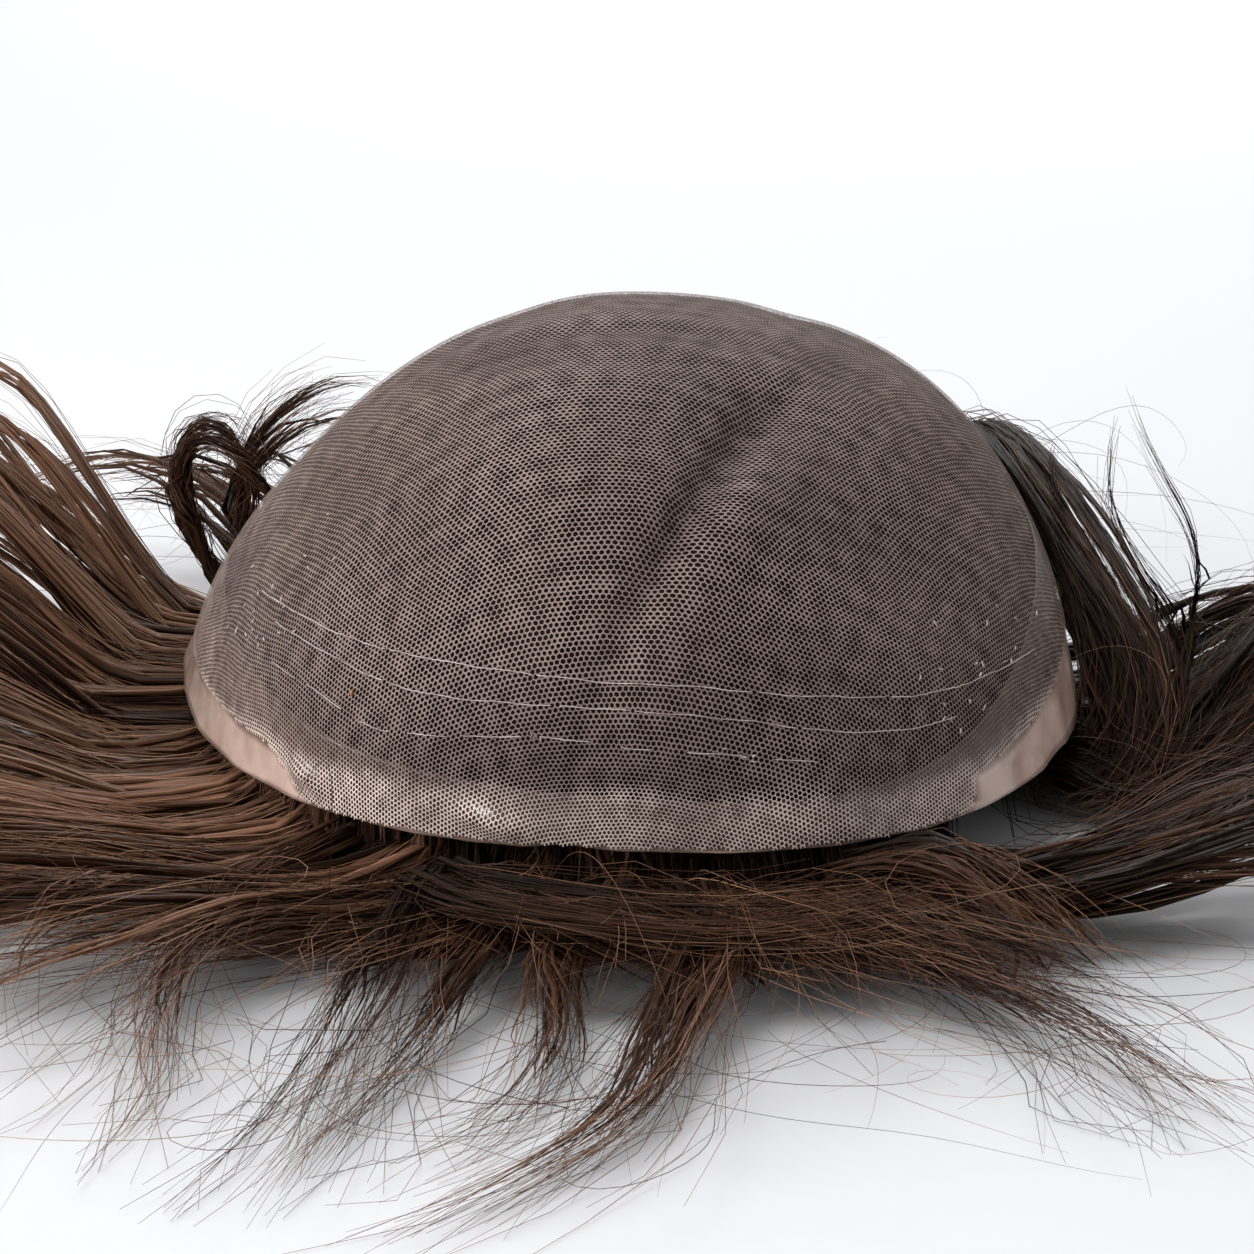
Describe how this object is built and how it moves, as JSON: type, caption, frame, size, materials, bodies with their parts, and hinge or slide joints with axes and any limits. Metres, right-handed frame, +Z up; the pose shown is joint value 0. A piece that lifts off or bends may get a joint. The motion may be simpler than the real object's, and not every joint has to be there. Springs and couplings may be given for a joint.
{
  "type": "toupee hairpiece",
  "caption": "Toupee turned inside out: a domed lace base with a clear film edge, lying scalp side up on its own brown hair, which spills out under the rim.",
  "frame": {"origin": "on the surface the hairpiece lies on, under the middle of its whole spread of hair", "axes": "+Z up, -Y towards the front hairline, +X to the right when seen from the front"},
  "size_m": [0.3592, 0.3838, 0.076],
  "materials": {
    "lace": "fine hexagonal nylon net, taupe, matte with a slight sheen",
    "film": "thin clear film with a pinkish skin tone, glossy, lightly creased",
    "hair": "dark brown human hair, loose waves, satin sheen with warm highlights"
  },
  "bodies": {
    "root": {"lace_crown": "lace", "film_band": "film", "hair": "hair"}
  },
  "joints": []
}
